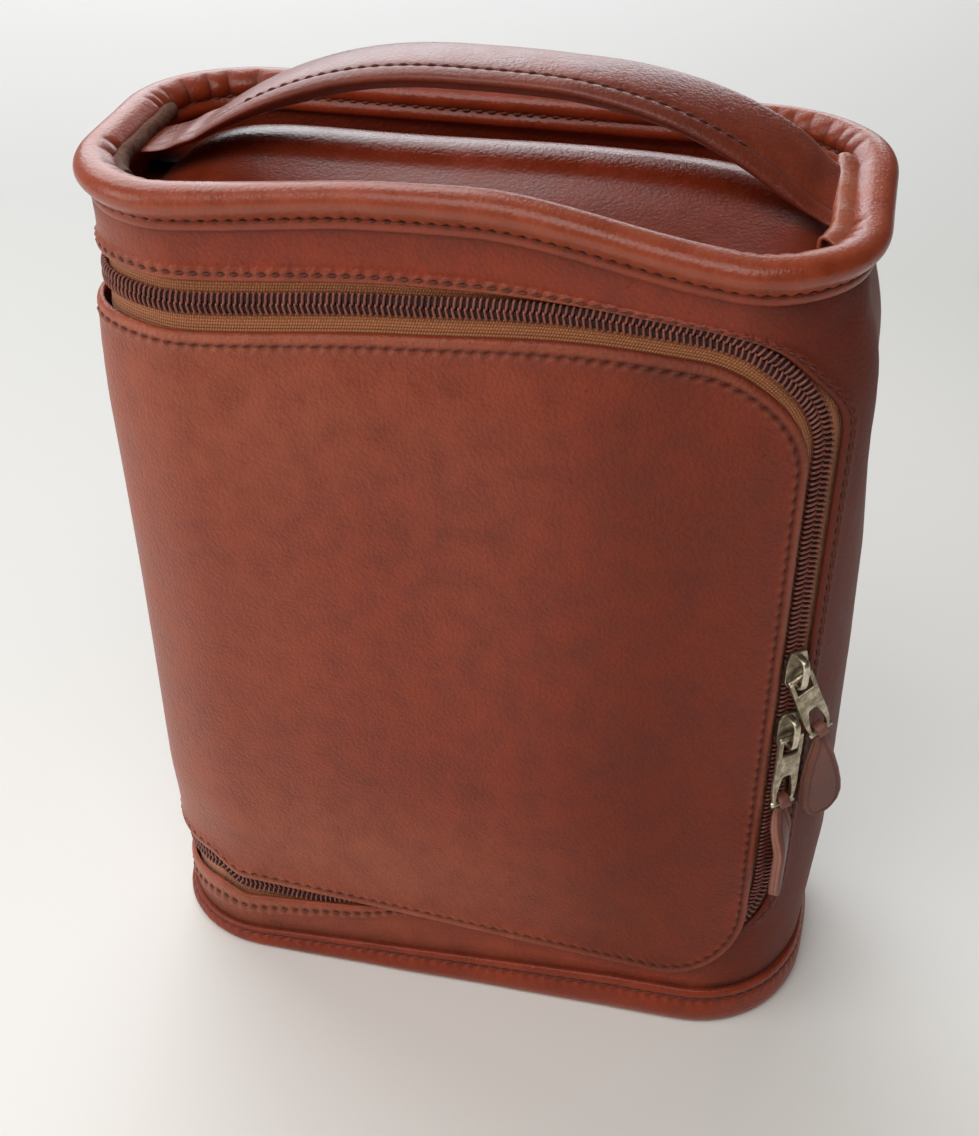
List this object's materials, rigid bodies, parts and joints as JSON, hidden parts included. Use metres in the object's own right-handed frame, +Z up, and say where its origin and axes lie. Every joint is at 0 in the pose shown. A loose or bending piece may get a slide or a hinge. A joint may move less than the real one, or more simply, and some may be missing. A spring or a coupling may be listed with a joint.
{
  "type": "toiletry bag",
  "caption": "Upright leather toiletry bag with a recessed top, a rolled rim, an arched handle and a padded front flap closed on three sides by a two-way zip.",
  "frame": {"origin": "middle of the base, on the surface that the bag stands on", "axes": "+Z up along the bag's height, -Y towards the front flap, +X to the right of someone facing the flap"},
  "size_m": [0.1989, 0.088, 0.267],
  "materials": {
    "leather_body": "smooth, soft sheen",
    "leather_flap": "smooth, soft sheen",
    "leather_handle": "smooth, worn sheen",
    "leather_edge": "raw cut edge",
    "leather_tab": "smooth, matt edges",
    "lining": "plain woven cloth",
    "board": "fibre board",
    "foam": "foam",
    "filler_cord": "cotton cord",
    "zip_tape": "woven tape",
    "zip_coil": "nylon coil",
    "antique_brass": "antiqued, rubbed edges"
  },
  "bodies": {
    "bag": {"body_wrap": "leather_body", "hinge_strip": "leather_body", "back_seam_welt": "leather_edge", "body_lining": "lining", "back_board": "board", "inner_pocket": "lining", "bottom_panel": "leather_body", "bottom_board": "board", "bottom_binding": "leather_body", "top_panel": "leather_body", "rim_facing": "leather_body", "top_rim": "leather_body", "rim_cord": "filler_cord", "zip_tape_body": "zip_tape", "zip_coil_body": "zip_coil", "zip_end_upper": "leather_body", "zip_end_lower": "leather_body", "handle_end_left": "leather_handle", "handle_end_right": "leather_handle"},
    "handle": {"handle_strap": "leather_handle", "handle_core": "foam"},
    "flap": {"flap_leather": "leather_flap", "flap_board": "board", "flap_lining": "lining", "zip_tape_flap": "zip_tape", "zip_coil_flap": "zip_coil"},
    "upper_slider": {"slider_upper": "antique_brass"},
    "lower_slider": {"slider_lower": "antique_brass"},
    "upper_pull": {"pull_upper": "antique_brass"},
    "lower_pull": {"pull_lower": "antique_brass"},
    "upper_tab": {"pull_tab_upper": "leather_tab"},
    "lower_tab": {"pull_tab_lower": "leather_tab"}
  },
  "joints": [
    {"name": "flap_hinge", "type": "hinge", "parent": "bag", "child": "flap", "pos_m": [-0.0965, 0.00385, 0.12], "axis": [0, 0, -1], "range_deg": [0, 130]},
    {"name": "handle_tilt", "type": "hinge", "parent": "bag", "child": "handle", "pos_m": [0, 0, 0.243], "axis": [1, 0, 0], "range_deg": [-12, 12], "stiffness_Nm_per_rad": 0.2},
    {"name": "upper_slider_slide", "type": "slide", "parent": "bag", "child": "upper_slider", "axis": [0, 0, 1], "range_m": [0, 0.055]},
    {"name": "lower_slider_slide", "type": "slide", "parent": "bag", "child": "lower_slider", "axis": [0, 0, -1], "range_m": [0, 0.045]},
    {"name": "upper_pull_swing", "type": "hinge", "parent": "upper_slider", "child": "upper_pull", "pos_m": [0.0859, -0.03704, 0.1304], "axis": [-0.707, -0.5786, -0.4067], "range_deg": [0, 130]},
    {"name": "lower_pull_swing", "type": "hinge", "parent": "lower_slider", "child": "lower_pull", "pos_m": [0.0859, -0.03704, 0.1104], "axis": [-0.7739, -0.6333, 0], "range_deg": [0, 130]},
    {"name": "upper_tab_swing", "type": "hinge", "parent": "upper_pull", "child": "upper_tab", "pos_m": [0.09298, -0.03124, 0.10984], "axis": [-0.707, -0.5786, -0.4067], "range_deg": [0, 60]},
    {"name": "lower_tab_swing", "type": "hinge", "parent": "lower_pull", "child": "lower_tab", "pos_m": [0.0859, -0.03704, 0.0879], "axis": [-0.7739, -0.6333, 0], "range_deg": [0, 60]}
  ]
}
